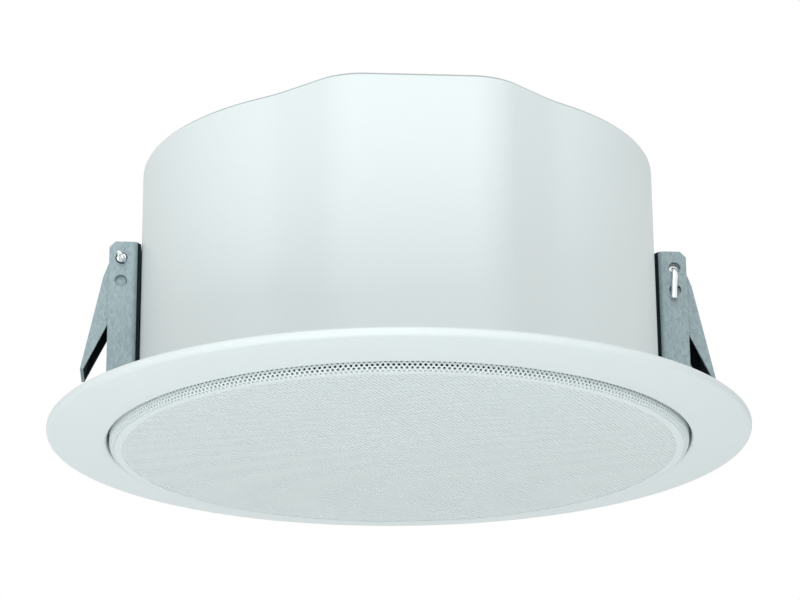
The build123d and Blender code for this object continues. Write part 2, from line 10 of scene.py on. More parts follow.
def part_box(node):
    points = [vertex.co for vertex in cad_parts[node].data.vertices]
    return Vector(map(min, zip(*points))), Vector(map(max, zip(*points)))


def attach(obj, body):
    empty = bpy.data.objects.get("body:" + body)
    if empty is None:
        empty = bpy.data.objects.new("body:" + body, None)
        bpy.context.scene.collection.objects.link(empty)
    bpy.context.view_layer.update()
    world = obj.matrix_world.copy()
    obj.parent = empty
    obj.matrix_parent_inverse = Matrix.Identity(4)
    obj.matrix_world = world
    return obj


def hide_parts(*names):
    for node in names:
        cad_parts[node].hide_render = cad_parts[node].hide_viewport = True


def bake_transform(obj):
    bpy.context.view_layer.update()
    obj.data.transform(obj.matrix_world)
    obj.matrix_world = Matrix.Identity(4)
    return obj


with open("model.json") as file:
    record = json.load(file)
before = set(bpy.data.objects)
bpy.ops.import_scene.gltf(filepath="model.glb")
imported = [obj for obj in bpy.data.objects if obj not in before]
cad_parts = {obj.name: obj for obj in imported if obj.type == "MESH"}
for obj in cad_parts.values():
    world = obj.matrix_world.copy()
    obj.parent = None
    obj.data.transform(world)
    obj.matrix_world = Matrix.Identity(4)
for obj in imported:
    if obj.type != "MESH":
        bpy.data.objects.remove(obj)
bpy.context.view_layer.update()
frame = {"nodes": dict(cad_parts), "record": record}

# Looks of an in-ceiling speaker with two sprung clamps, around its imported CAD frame.
# Lengths here are in millimetres, and dividing them by 1000 gives Blender's metres. Angles are in degrees.
# +Z is up into the ceiling void, -Y is towards the camera.

# Camera, below the ceiling and a little to the left
CAMERA_DISTANCE = 900.0
CAMERA_LEFT = 4.4
CAMERA_BELOW = 15.77
CAMERA_PITCH = 18.57
CAMERA_TURN = 0.04
CAMERA_ROLL = -0.45
CAMERA_LENS = 123.2
CAMERA_SENSOR = 36.0
CAMERA_CLIP = 10.0

# Floor and light; each softbox has a place, a width and a power in watts, and is aimed at a point on the axis
FLOOR_Z = -900.0
FLOOR_SIZE = 8000.0
LIGHT_AIM_Z = 30.0
WORLD_TINT = (0.965, 0.99, 0.985)
WORLD_STRENGTH = 0.66
SOFTBOXES = {
    "low_softbox": ((-250.0, -650.0, -1000.0), 900.0, 22.5),
    "high_softbox": ((-100.0, -1100.0, 900.0), 900.0, 6.0),
}

# Round parts are turned with this many sides
TURN_SIDES = 192
SMALL_SIDES = 32

# Edges that bend more than this stay sharp, and a rounded corner takes at most this share of its sides
SHARP_ANGLE = 35.0
EASE_LIMIT = 0.45

# Flange
FLANGE_EDGE = 2.8
FLANGE_FACE = -5.1
FLANGE_INSIDE_R = 95.5
COLLAR_R = 98.0
BAFFLE_FRONT = 2.5
BAFFLE_BACK = 4.5
BAFFLE_OPENING_R = 70.5
FLANGE_EDGE_ROUND = 1.3

# Grille: perforated sheet, a flat lattice of holes and rows of holes round the rolled edge
HOLE_SPACING = 1.6
HOLE_R = 0.52
SHEET_T = 0.8
GRILLE_ROUND = 2.2
GRILLE_PLAIN_EDGE = 0.6
LATTICE_COVER = 1.8
LATTICE_SETBACK = 0.03
LATTICE_REACH = 1.3
INNER_PANEL_R = 64.0
EDGE_COLUMNS = 374
EDGE_ROWS = 7
EDGE_ROW_SPACING = 1.08
EDGE_START_TURN = 0.82 * pi / 3
EDGE_FIRST_ROW = EDGE_START_TURN * GRILLE_ROUND - EDGE_ROW_SPACING
EDGE_MARGIN = 0.1

# Can, with two tolerances in metres
CAN_WALL = 1.0
RIM_HEIGHT = 1.5
RIM_INWARD = 2.2
RIM_STEPS = 6
GROMMET_HOLE_R = 6.3
WELD = 1e-6
SAME_LEVEL = 1e-5

# Clamps: pivot, bracket and lever
PIVOT_X = 92.0
PIVOT_Z = 56.3
BRACKET_HALF = 9.0
BRACKET_WEB_X = 85.65
# Bracket faces nearer the axis than this, towards the can, take painted shade
BRACKET_PAINTED_SHADE_X = 86.75
BRACKET_WEB_TOLERANCE = 0.02
LEVER_TILT = 12.0
LEVER_HALF = 7.7
LEVER_SHEET = 1.0
LEVER_WEB_INSIDE = 3.4
LEVER_EAR = 3.3
LEVER_EAR_BACK = 0.9 * LEVER_EAR
LEVER_TAPER_LIFT = 2.5
LEVER_TIP_SHARE = 0.75

# How much of a face's normal has to point a way for the face to count as facing that way
PARTLY_FACING = 0.2
SQUARELY_FACING = 0.9

# Split pin: the leg's bend has y from the bracket's near face
PIN_R = 1.5
PIN_SIDES = 20
SHANK_ENDS = (0.5, 2.0)
EYE_R = 1.6
EYE_WIRE_R = 0.7
EYE_GAP = 0.2
EYE_TILT = 37.0
EYE_STEPS = 24
EYE_SIDES = 12
TAIL_LENGTH = 10.9
TAIL_SIZE = (1.1, 0.75)
TAIL_SIDES = 14
TAIL_ROOT = 3.0
TAIL_BEND = ((0, 1.6, -0.3), (0, -0.6, -0.5), (0, -0.75, -3.2))
TAIL_MIDDLE = (-0.3, -0.75)
TAIL_END = (-0.6, -0.8)

# Torsion spring: the lever's leg is given out from the pivot and along the lever
WIRE_R = 0.45
WIRE_SIDES = 10
COIL_R = 2.3
COIL_TURNS = 9
COIL_PART_TURN = 0.75
COIL_STEPS = 24
COIL_HALF = 4.05
SPRING_LEG_Z = (5.0, 2.5, 1.2)
SPRING_LEG = ((1.6, 2.9), (2.6, 4.2), (2.88, 6.0), (2.88, 12.6))
SPRING_BEND = ((2.88, 12.8), (2.88, 13.55), (3.6, 13.55))
SPRING_HOOK = (4.4, 13.55)

# Driver
DRIVER_SIDES = 96
AXIS_R = 0.02
MOTOR_EDGE = 0.6
POLE_CLEARANCE = 0.4
YOKE_T = 4.0
COIL_WINDING_T = 0.5
COIL_WINDING_H = 8.0
CONE_T = 0.8
CONE_FLARE = 1.15
CONE_RIB = 0.5
CONE_RIBS = 8
CONE_RIBBED = (0.25, 0.8)
CONE_ROWS = 49
CAP_ROWS = 17
SURROUND_T = 1.0
SURROUND_ROWS = 33
ROLL_W = 9.0
SPIDER_SEAT = 6.0
SPIDER_FOLD = 0.35
SPIDER_FOLDS = 7
SPIDER_FOLDED = 0.9
SPIDER_DROP = 2.0
SPIDER_ROWS = 97

# Fasteners and cable inlet
SCREW_R = 1.55
SCREW_HEAD_R = 3.0
SCREW_HEAD_H = 2.0
HEAD_SIDE = 0.45
HEAD_DOME = np.linspace(1.3, 0.02, 8)
RECESS_L = 3.2
RECESS_W = 0.7
RECESS_H = 1.3 * SCREW_HEAD_H
RIVET_HEAD_H = 1.2
RIVET_DOME = np.linspace(0.02, pi / 2, 9)
GROMMET_BORE_R = 4.0
GROMMET_ROUND = 0.7
SAME_END = 0.01

# Grain of the finishes: octaves of noise, and the bump's depth in metres
MOTTLE_DETAIL = 4.0
GRAIN_DETAIL = 3.0
GRAIN_DEPTH = 0.0002
BAND_DISTORTION = 0.6

nodes = frame["nodes"]
slot_of = {s["node"]: s["material_slot"] for s in frame["record"]["subparts"]}


def node_points(node):
    """The CAD node's vertices, in millimetres."""
    return 1000 * np.array([v.co for v in nodes[node].data.vertices])


def node_radii(node):
    """The least and greatest distance of a CAD node's vertices from the Z axis."""
    points = node_points(node)
    radii = np.hypot(points[:, 0], points[:, 1])
    return radii.min(), radii.max()


def node_heights(node):
    low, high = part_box(node)
    return 1000 * low.z, 1000 * high.z


GRILLE_R = node_radii("grille")[1]
GRILLE_FACE, GRILLE_TOP = node_heights("grille")


# Materials

def node_in(tree, kind, **values):
    node = tree.nodes.new(kind)
    for name, value in values.items():
        if hasattr(node, name):
            setattr(node, name, value)
        else:
            node.inputs[name.replace("_", " ").title()].default_value = value
    return node


def finish(name, colour, roughness, metallic=0.0, mottle=0.03, scale=60.0, grain=0.15, grain_scale=1800.0,
           stretch=(1.0, 1.0, 1.0), pattern="noise", specular=0.5):
    """A surface whose colour wavers by the mottle's share and whose grain is a fine bump."""
    material = bpy.data.materials.new(name)
    material.use_nodes = True
    tree = material.node_tree
    shader = tree.nodes["Principled BSDF"]
    shader.inputs["Roughness"].default_value = roughness
    shader.inputs["Metallic"].default_value = metallic
    shader.inputs["Specular IOR Level"].default_value = specular
    coordinates = tree.nodes.new("ShaderNodeTexCoord")
    mapping = tree.nodes.new("ShaderNodeMapping")
    mapping.inputs["Scale"].default_value = stretch
    tree.links.new(coordinates.outputs["Object"], mapping.inputs["Vector"])
    if pattern == "spangle":
        waver = node_in(tree, "ShaderNodeTexVoronoi", Scale=scale)
        waver_output = waver.outputs["Color"]
    elif pattern == "bands":
        waver = node_in(tree, "ShaderNodeTexWave", bands_direction="Y", Scale=scale,
                        Distortion=BAND_DISTORTION)
        waver_output = waver.outputs["Fac"]
    else:
        waver = node_in(tree, "ShaderNodeTexNoise", Scale=scale, Detail=MOTTLE_DETAIL)
        waver_output = waver.outputs["Fac"]
    tree.links.new(mapping.outputs["Vector"], waver.inputs["Vector"])
    blend = node_in(tree, "ShaderNodeMix", data_type="RGBA")
    blend_colours = [s for s in blend.inputs if s.type == "RGBA"]
    blend_colours[0].default_value = (*[c * (1 - mottle) for c in colour], 1)
    blend_colours[1].default_value = (*[min(1.0, c * (1 + mottle)) for c in colour], 1)
    tree.links.new(waver_output, blend.inputs["Factor"])
    result = [s for s in blend.outputs if s.type == "RGBA"][0]
    tree.links.new(result, shader.inputs["Base Color"])
    fine = node_in(tree, "ShaderNodeTexNoise", Scale=grain_scale, Detail=GRAIN_DETAIL)
    tree.links.new(mapping.outputs["Vector"], fine.inputs["Vector"])
    bump = node_in(tree, "ShaderNodeBump", Strength=grain, Distance=GRAIN_DEPTH)
    tree.links.new(fine.outputs["Fac"], bump.inputs["Height"])
    tree.links.new(bump.outputs["Normal"], shader.inputs["Normal"])
    return material


WHITE = (0.80, 0.855, 0.86)
LOOKS = {
    "flange_plastic": dict(colour=WHITE, roughness=0.42, mottle=0.012, scale=30, grain=0.05, specular=0.3),
    "grille_paint": dict(colour=WHITE, roughness=0.5, mottle=0.012, scale=30, grain=0.08, specular=0.3),
    "can_paint": dict(colour=WHITE, roughness=0.5, mottle=0.015, scale=25, grain=0.12, grain_scale=1400,
                      specular=0.3),
    "galvanised": dict(colour=(0.31, 0.39, 0.41), roughness=0.55, metallic=0.35, mottle=0.16, scale=1500,
                       grain=0.35, grain_scale=1400, stretch=(1.0, 1.0, 0.5), pattern="spangle"),
    "pin_steel": dict(colour=(0.86, 0.89, 0.90), roughness=0.25, metallic=0.9, mottle=0.06, scale=400,
                      grain=0.1, grain_scale=2500),
    "spring_steel": dict(colour=(0.30, 0.31, 0.33), roughness=0.35, metallic=0.9, mottle=0.12, scale=500,
                         grain=0.1, grain_scale=2500),
    "fastener_zinc": dict(colour=(0.62, 0.64, 0.62), roughness=0.35, metallic=0.85, mottle=0.10, scale=300,
                          grain=0.15, grain_scale=1500),
    "basket_paint": dict(colour=(0.035, 0.036, 0.038), roughness=0.5, mottle=0.2, scale=80, grain=0.2,
                         grain_scale=1500),
    "cone_paper": dict(colour=(0.045, 0.043, 0.042), roughness=0.85, mottle=0.25, scale=500, grain=0.5,
                       grain_scale=900),
    "surround_cloth": dict(colour=(0.05, 0.05, 0.052), roughness=0.8, mottle=0.3, scale=300, grain=0.5,
                           grain_scale=1600),
    "spider_cloth": dict(colour=(0.52, 0.36, 0.16), roughness=0.85, mottle=0.2, scale=350, grain=0.5,
                         grain_scale=1600),
    "coil_copper": dict(colour=(0.72, 0.36, 0.20), roughness=0.35, metallic=0.9, mottle=0.15, scale=900,
                        grain=0.2, grain_scale=2500, stretch=(0.05, 0.05, 1.0), pattern="bands"),
    "motor_steel": dict(colour=(0.60, 0.58, 0.50), roughness=0.38, metallic=0.85, mottle=0.1, scale=120,
                        grain=0.15, grain_scale=1200),
    "ferrite": dict(colour=(0.055, 0.055, 0.06), roughness=0.6, metallic=0.1, mottle=0.25, scale=250,
                    grain=0.35, grain_scale=1500),
    "phenolic": dict(colour=(0.30, 0.17, 0.075), roughness=0.55, mottle=0.2, scale=350, grain=0.25,
                     grain_scale=1500),
    "lamination": dict(colour=(0.30, 0.31, 0.33), roughness=0.45, metallic=0.7, mottle=0.35, scale=320,
                       grain=0.2, grain_scale=1500, stretch=(0.01, 1.0, 0.01), pattern="bands"),
    "winding_tape": dict(colour=(0.75, 0.62, 0.20), roughness=0.4, mottle=0.12, scale=90, grain=0.2,
                         grain_scale=1500),
    "terminal_plastic": dict(colour=(0.70, 0.70, 0.66), roughness=0.45, mottle=0.05, scale=120, grain=0.1,
                             grain_scale=1500),
    "grommet_rubber": dict(colour=(0.03, 0.03, 0.032), roughness=0.65, mottle=0.25, scale=300, grain=0.3,
                           grain_scale=1500),
}
FINISHES = {name: finish(name, **look) for name, look in LOOKS.items()}

# Painted shade: second finishes, darker than the pieces' own colours, for faces of a piece that lie in shade
# Painted shade on the can's rounded top edge
RIM_PAINTED_SHADE = finish("can_rim_painted_shade", colour=(0.47, 0.51, 0.52), roughness=0.5, mottle=0.03, scale=25, grain=0.12,
                   specular=0.3)
# Painted shade inside the levers' folds and on the brackets' faces towards the can
PAINTED_SHADE_STEEL = finish("steel_painted_shade", colour=(0.022, 0.034, 0.04), roughness=0.95, mottle=0.2, scale=600,
                      grain=0.3, grain_scale=1400, specular=0.05)


# Mesh helpers

def linked(name, data):
    thing = bpy.data.objects.new(name, data)
    bpy.context.scene.collection.objects.link(thing)
    return thing


def dressed(name, mesh, slot, *second):
    """A piece with the finish of its slot, smooth but for edges over the sharp angle."""
    for material in (FINISHES[slot], *second):
        mesh.materials.append(material)
    mesh.shade_smooth()
    mesh.set_sharp_from_angle(angle=radians(SHARP_ANGLE))
    piece = linked(name, mesh)
    return piece


def make_object(name, points, faces, slot, *second):
    """A piece from points in millimetres."""
    mesh = bpy.data.meshes.new(name)
    mesh.from_pydata((np.asarray(points, float) / 1000).tolist(), [], faces)
    mesh.validate()
    return dressed(name, mesh, slot, *second)


def place(piece, body, *replaced):
    """Fixes a piece to a body, in place of CAD nodes where it has any."""
    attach(piece, body)
    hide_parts(*replaced)


def joined(parts):
    """Several (points, faces) sets as one."""
    points, faces = [], []
    for part_points, part_faces in parts:
        start = len(points)
        points.extend(map(tuple, part_points))
        faces.extend([start + i for i in face] for face in part_faces)
    return points, faces


def moved(part, place_at, matrix=None):
    """A (points, faces) set turned by a matrix and then shifted."""
    points, faces = part
    points = np.asarray(points, float)
    if matrix is not None:
        points = points @ np.array(matrix).T
    return points + np.array(place_at), faces


def eased(profile, radius, steps=5):
    """A closed profile of (r, z) points with each corner rounded."""
    rounded = []
    count = len(profile)
    for i in range(count):
        corner = np.array(profile[i], float)
        ends = []
        for neighbour in (profile[i - 1], profile[(i + 1) % count]):
            side = np.array(neighbour, float) - corner
            length = np.linalg.norm(side)
            ends.append(corner + side / length * min(radius, EASE_LIMIT * length))
        for k in range(steps + 1):
            t = k / steps
            point = (1 - t) ** 2 * ends[0] + 2 * t * (1 - t) * corner + t**2 * ends[1]
            rounded.append(tuple(point))
    return rounded


def turned(profile, sides):
    """A closed profile of (r, z) points turned about the Z axis."""
    profile = np.asarray(profile, float)
    angles = np.arange(sides) * tau / sides
    rows = len(profile)
    points = [(r * cos(a), r * sin(a), z) for a in angles for r, z in profile]
    faces = []
    for s in range(sides):
        here, there = s * rows, (s + 1) % sides * rows
        for k in range(rows):
            n = (k + 1) % rows
            faces.append((here + k, there + k, there + n, here + n))
    return points, faces


def tube(path, size, sides):
    """A bar of oval section along a path, closed at both ends."""
    path = np.asarray(path, float)
    across, through = size
    steps = np.gradient(path, axis=0)
    steps /= np.linalg.norm(steps, axis=1)[:, None]
    slanting = (0.3, 0.5, 0.8)
    side = np.cross(steps[0], slanting)
    points, faces = [], []
    for centre, step in zip(path, steps):
        side = side - step * (side @ step)
        side /= np.linalg.norm(side)
        up = np.cross(step, side)
        for k in range(sides):
            a = tau * k / sides
            points.append(centre + across * cos(a) * side + through * sin(a) * up)
    for i in range(len(path) - 1):
        for k in range(sides):
            n = (k + 1) % sides
            faces.append((i * sides + k, i * sides + n, (i + 1) * sides + n, (i + 1) * sides + k))
    faces.append(tuple(reversed(range(sides))))
    faces.append(tuple(range((len(path) - 1) * sides, len(path) * sides)))
    return points, faces


# Flange, collar and baffle

def build_flange():
    flange_r = node_radii("front_flange")[1]
    profile = [
        (COLLAR_R, 0),
        (flange_r, 0),
        (flange_r, -FLANGE_EDGE),
        (FLANGE_INSIDE_R, FLANGE_FACE),
        (FLANGE_INSIDE_R, BAFFLE_FRONT),
        (BAFFLE_OPENING_R, BAFFLE_FRONT),
        (BAFFLE_OPENING_R, BAFFLE_BACK),
        (COLLAR_R, BAFFLE_BACK),
    ]
    part = turned(eased(profile, FLANGE_EDGE_ROUND), TURN_SIDES)
    place(make_object("flange_moulding", *part, "flange_plastic"), "housing", "front_flange")


# Grille

def hole_corners():
    """A hexagon's corners, its flats towards the six neighbouring holes."""
    return [(HOLE_R * cos(a), HOLE_R * sin(a)) for a in radians(30) + np.arange(6) * pi / 3]


def web_between(index, owners):
    """The sheet between holes: for each owner the strips to three neighbours and the two gaps beside them."""
    faces = []
    for i, j in owners:
        own = index[i, j]
        right, up, left_up = index.get((i + 1, j)), index.get((i, j + 1)), index.get((i - 1, j + 1))
        if right is not None:
            faces.append((own[0], own[5], right[3], right[2]))
        if up is not None:
            faces.append((own[1], own[0], up[4], up[3]))
        if left_up is not None:
            faces.append((own[2], own[1], left_up[5], left_up[4]))
        if right is not None and up is not None:
            faces.append((own[0], right[2], up[4]))
        if up is not None and left_up is not None:
            faces.append((own[1], up[3], left_up[5]))
    return faces


def hole_walls(index, owners, depth_start):
    """The holes' walls, down to corners that follow the front ones from depth_start on."""
    faces = []
    for owner in owners:
        own = index[owner]
        for k in range(6):
            n = (k + 1) % 6
            faces.append((own[k], own[n], own[n] + depth_start, own[k] + depth_start))
    return faces


def perforated_panel(name, inner, outer):
    """The flat part of the sheet, with the holes between two distances from the axis."""
    face_z = GRILLE_FACE + LATTICE_SETBACK
    limit = GRILLE_R - GRILLE_ROUND - GRILLE_PLAIN_EDGE / 2
    reach = int(limit / HOLE_SPACING * LATTICE_REACH)
    corners = hole_corners()
    front, index, owners = [], {}, []
    for j in range(-reach, reach + 1):
        for i in range(-reach - j // 2, reach - j // 2 + 1):
            x = HOLE_SPACING * (i + j / 2)
            y = HOLE_SPACING * j * sin(pi / 3)
            distance = np.hypot(x, y)
            if inner - 2 * HOLE_SPACING < distance < min(limit, outer + 2 * HOLE_SPACING):
                index[i, j] = range(len(front), len(front) + 6)
                front.extend((x + cx, y + cy, face_z) for cx, cy in corners)
                if inner <= distance < outer:
                    owners.append((i, j))
    points = front + [(x, y, z + SHEET_T) for x, y, z in front]
    faces = [face[::-1] for face in web_between(index, owners)] + hole_walls(index, owners, len(front))
    place(make_object(name, points, faces, "grille_paint"), "housing")


def edge_profile(length):
    """Point and outward direction at a distance from the flat face along the rolled edge and up the skirt."""
    centre_r, centre_z = GRILLE_R - GRILLE_ROUND, GRILLE_FACE + GRILLE_ROUND
    turn = length / GRILLE_ROUND
    if turn < 0:
        return centre_r + length, GRILLE_FACE, 0.0, -1.0
    if turn > pi / 2:
        return GRILLE_R, centre_z + length - pi / 2 * GRILLE_ROUND, 1.0, 0.0
    return centre_r + GRILLE_ROUND * sin(turn), centre_z - GRILLE_ROUND * cos(turn), sin(turn), -cos(turn)


def perforated_edge():
    """The rolled edge and skirt, with rows of holes round it."""
    skirt_end = pi / 2 * GRILLE_ROUND + GRILLE_TOP - (GRILLE_FACE + GRILLE_ROUND)
    corners = hole_corners()
    flat, index = [], {}
    for j in range(EDGE_ROWS):
        for i in range(EDGE_COLUMNS):
            index[i, j] = range(len(flat), len(flat) + 6)
            along = EDGE_FIRST_ROW + j * EDGE_ROW_SPACING
            around = tau * (i + j / 2) / EDGE_COLUMNS
            flat.extend((around + cx / GRILLE_R, along + cy) for cx, cy in corners)
    holes = len(flat)
    wrapped = dict(index)
    for j in range(EDGE_ROWS):
        wrapped[EDGE_COLUMNS, j] = index[0, j]
        wrapped[-1, j] = index[EDGE_COLUMNS - 1, j]
    faces = web_between(wrapped, list(index))
    first, last = {}, {}
    steps_in = [-GRILLE_PLAIN_EDGE / 2 - LATTICE_COVER, 0.0, EDGE_FIRST_ROW - HOLE_R - EDGE_MARGIN]
    last_row = EDGE_FIRST_ROW + (EDGE_ROWS - 1) * EDGE_ROW_SPACING
    steps_out = [last_row + HOLE_R + EDGE_MARGIN, skirt_end]
    for i in range(EDGE_COLUMNS):
        for k, along in enumerate(steps_in):
            first[i, k] = len(flat)
            flat.append((tau * i / EDGE_COLUMNS, along))
        for k, along in enumerate(steps_out):
            last[i, k] = len(flat)
            flat.append((tau * (i + (EDGE_ROWS - 1) / 2) / EDGE_COLUMNS, along))
    for i in range(EDGE_COLUMNS):
        n = (i + 1) % EDGE_COLUMNS
        own, nxt = index[i, 0], index[n, 0]
        end = len(steps_in) - 1
        faces.append((first[i, end], first[n, end], nxt[4], nxt[3], own[5], own[4]))
        for k in range(end):
            faces.append((first[i, k], first[n, k], first[n, k + 1], first[i, k + 1]))
        own, nxt = index[i, EDGE_ROWS - 1], index[n, EDGE_ROWS - 1]
        faces.append((own[1], own[0], nxt[2], nxt[1], last[n, 0], last[i, 0]))
        faces.append((last[i, 0], last[n, 0], last[n, 1], last[i, 1]))
    points = []
    for depth, places in ((0.0, flat), (SHEET_T, flat[:holes])):
        for around, along in places:
            r, z, out_r, out_z = edge_profile(along)
            r, z = r - depth * out_r, z - depth * out_z
            points.append((r * cos(around), r * sin(around), z))
    faces += hole_walls(index, list(index), len(flat))
    place(make_object("grille_edge", points, faces, "grille_paint"), "housing", "grille")


def build_grille():
    perforated_panel("grille_panel_inner", 0, INNER_PANEL_R)
    perforated_panel("grille_panel_outer", INNER_PANEL_R, GRILLE_R)
    perforated_edge()


# Can

def build_can():
    """The CAD can with its top edge rounded, and painted shade on the rounded edge."""
    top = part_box("back_can")[1].z
    low = top - RIM_HEIGHT / 1000
    body = bmesh.new()
    body.from_mesh(nodes["back_can"].data)
    bmesh.ops.remove_doubles(body, verts=body.verts[:], dist=WELD)
    upper = [f for f in body.faces if min(v.co.z for v in f.verts) > low - SAME_LEVEL]
    bmesh.ops.delete(body, geom=upper, context="FACES")
    rim = [v for v in body.verts if abs(v.co.z - low) < SAME_LEVEL and v.is_boundary]
    rim.sort(key=lambda v: np.arctan2(v.co.y, v.co.x))
    inward = []
    for i, v in enumerate(rim):
        along = rim[(i + 1) % len(rim)].co - rim[i - 1].co
        inward.append(Vector((-along.y, along.x, 0)).normalized())
    row = rim
    for k in range(1, RIM_STEPS + 1):
        a = pi / 2 * k / RIM_STEPS
        shift = Vector((0, 0, RIM_HEIGHT / 1000 * sin(a)))
        pull = RIM_INWARD / 1000 * (1 - cos(a))
        new = [body.verts.new(v.co + pull * n + shift) for v, n in zip(rim, inward)]
        for i in range(len(rim)):
            n = (i + 1) % len(rim)
            face = body.faces.new((row[i], row[n], new[n], new[i]))
            # The middle steps of the rounded top edge take the painted shade
            face.material_index = 1 if 1 < k < RIM_STEPS - 1 else 0
        row = new
    low_corner, high_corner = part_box("cable_grommet")
    centre = (low_corner + high_corner) / 2
    angles = np.arange(SMALL_SIDES) * tau / SMALL_SIDES
    radius = GROMMET_HOLE_R / 1000
    hole = [body.verts.new((centre.x + radius * cos(a), centre.y + radius * sin(a), top)) for a in angles]
    edges = [body.edges.get((row[i - 1], row[i])) for i in range(len(row))]
    edges += [body.edges.new((hole[i - 1], hole[i])) for i in range(len(hole))]
    bmesh.ops.triangle_fill(body, use_beauty=True, edges=edges)
    bmesh.ops.recalc_face_normals(body, faces=body.faces[:])
    mesh = bpy.data.meshes.new("can_shell")
    body.to_mesh(mesh)
    body.free()
    place(dressed("can_shell", mesh, "can_paint", RIM_PAINTED_SHADE), "housing", "back_can")


# Clamps: pins and springs are made for the right clamp and turn half round for the left

def on_lever(out, along):
    """The x and z, from the pivot, of a place given out from and along the tilted lever."""
    tilt = radians(LEVER_TILT)
    return (out * cos(tilt) + along * sin(tilt), out * sin(tilt) - along * cos(tilt))


def arc(start, corner, end, steps=6):
    """A smooth bend from start to end about a corner."""
    start, corner, end = (np.array(p, float) for p in (start, corner, end))
    ts = np.linspace(0, 1, steps + 1)
    return [tuple((1 - t) ** 2 * start + 2 * t * (1 - t) * corner + t**2 * end) for t in ts]


def split_pin():
    """A shank with an eye at its back end and one leg bent down at its front end."""
    half = BRACKET_HALF
    shank = arc((0, half + SHANK_ENDS[0], 0), (0, 0, 0), (0, -half + SHANK_ENDS[1], 0), 4)
    parts = [tube(shank, (PIN_R, PIN_R), PIN_SIDES)]
    tilt = radians(EYE_TILT)
    ring = []
    for k in range(EYE_STEPS + 1):
        a = tau * k / EYE_STEPS
        out = EYE_R * sin(a)
        ring.append((out * sin(tilt), half + EYE_R + EYE_GAP + EYE_R * cos(a), out * cos(tilt)))
    parts.append(tube(ring, (EYE_WIRE_R, EYE_WIRE_R), EYE_SIDES))
    leg = [(0, -half + TAIL_ROOT, 0)] + arc(*((x, y - half, z) for x, y, z in TAIL_BEND))
    for share, (x, y) in ((0.5, TAIL_MIDDLE), (1.0, TAIL_END)):
        leg.append((x, y - half, -share * TAIL_LENGTH))
    parts.append(tube(leg, TAIL_SIZE, TAIL_SIDES))
    return joined(parts)


def torsion_spring():
    """A leg up the bracket's web, the coil and a hooked leg down inside the lever."""
    path = [(-COIL_R, COIL_HALF, z) for z in SPRING_LEG_Z]
    turns = np.linspace(pi, pi + tau * (COIL_TURNS - COIL_PART_TURN), COIL_STEPS * COIL_TURNS)
    for k, a in enumerate(turns):
        y = COIL_HALF - 2 * COIL_HALF * k / (len(turns) - 1)
        path.append((COIL_R * cos(a), y, COIL_R * sin(a)))
    leg = [on_lever(*place_on) for place_on in SPRING_LEG]
    bend = arc(*(on_lever(*place_on) for place_on in SPRING_BEND), 4)
    path += [(x, -COIL_HALF, z) for x, z in leg + bend + [on_lever(*SPRING_HOOK)]]
    return tube(path, (WIRE_R, WIRE_R), WIRE_SIDES)


def bracket_on_can(side, sign):
    """The CAD bracket with its web laid against the can, and painted shade on its faces towards the can."""
    node = "clamp_bracket_" + side
    points = node_points(node)
    web = abs(points[:, 0]) < abs(points[:, 0]).min() + BRACKET_WEB_TOLERANCE
    points[web, 0] = sign * BRACKET_WEB_X
    faces = [tuple(f.vertices) for f in nodes[node].data.polygons]
    bracket = make_object("folded_bracket_" + side, points, faces, "galvanised", PAINTED_SHADE_STEEL)
    # Faces towards the can, in the wedge between bracket and can, take the painted shade
    for face in bracket.data.polygons:
        facing_can = sign * face.normal.x < -PARTLY_FACING and abs(1000 * face.center.x) < BRACKET_PAINTED_SHADE_X
        face.material_index = 1 if facing_can else 0
    place(bracket, "housing", node)


def shaded_lever(side, sign):
    """The CAD lever, with painted shade inside its fold, and its cheeks tapered off to the web at the tip."""
    node = "clamp_lever_" + side
    tilt = radians(LEVER_TILT)
    points = node_points(node)
    x, z = sign * points[:, 0] - PIVOT_X, points[:, 2] - PIVOT_Z
    out, along = x * cos(tilt) + z * sin(tilt), x * sin(tilt) - z * cos(tilt)
    tip = (along > LEVER_TIP_SHARE * along.max()) & (out < LEVER_WEB_INSIDE)
    shift = LEVER_WEB_INSIDE - out[tip]
    points[tip, 0] += sign * shift / cos(tilt)
    taper_start = (along > LEVER_EAR) & (out < -LEVER_EAR_BACK)
    points[taper_start, 0] -= sign * LEVER_TAPER_LIFT * sin(tilt)
    points[taper_start, 2] += LEVER_TAPER_LIFT * cos(tilt)
    faces = [tuple(f.vertices) for f in nodes[node].data.polygons]
    lever = make_object("folded_lever_" + side, points, faces, "galvanised", PAINTED_SHADE_STEEL)
    inside = LEVER_HALF - LEVER_SHEET
    # Faces inside the fold take the painted shade
    for face in lever.data.polygons:
        facing_in = face.normal.y * face.center.y < 0 and abs(face.normal.y) > SQUARELY_FACING
        facing_back = sign * face.normal.x < -SQUARELY_FACING and abs(1000 * face.center.y) < inside
        face.material_index = 1 if facing_in or facing_back else 0
    place(lever, "clamp_arm_" + side, node)


def build_clamps():
    for side, sign in (("right", 1), ("left", -1)):
        bracket_on_can(side, sign)
        shaded_lever(side, sign)
        turn = Matrix.Rotation(0 if sign > 0 else pi, 3, "Z")
        centre = (sign * PIVOT_X, 0, PIVOT_Z)
        pin = make_object("split_pin_" + side, *moved(split_pin(), centre, turn), "pin_steel")
        place(pin, "housing", "pivot_pin_" + side)
        spring = make_object("wound_spring_" + side, *moved(torsion_spring(), centre, turn), "spring_steel")
        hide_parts("clamp_spring_" + side)
        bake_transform(spring)


# Driver: turned pieces in place of the many-sided CAD ones, and the folded soft pieces

def turned_piece(name, node, profile, body="housing"):
    part = turned(profile, DRIVER_SIDES)
    place(make_object(name, *part, slot_of[node]), body, node)


def sheet_profile(radii, height, thickness):
    """A closed section of a thin turned sheet whose middle lies at a height for each radius."""
    under = [(r, height(r) - thickness / 2) for r in radii]
    return under + [(r, height(r) + thickness / 2) for r in reversed(radii)]


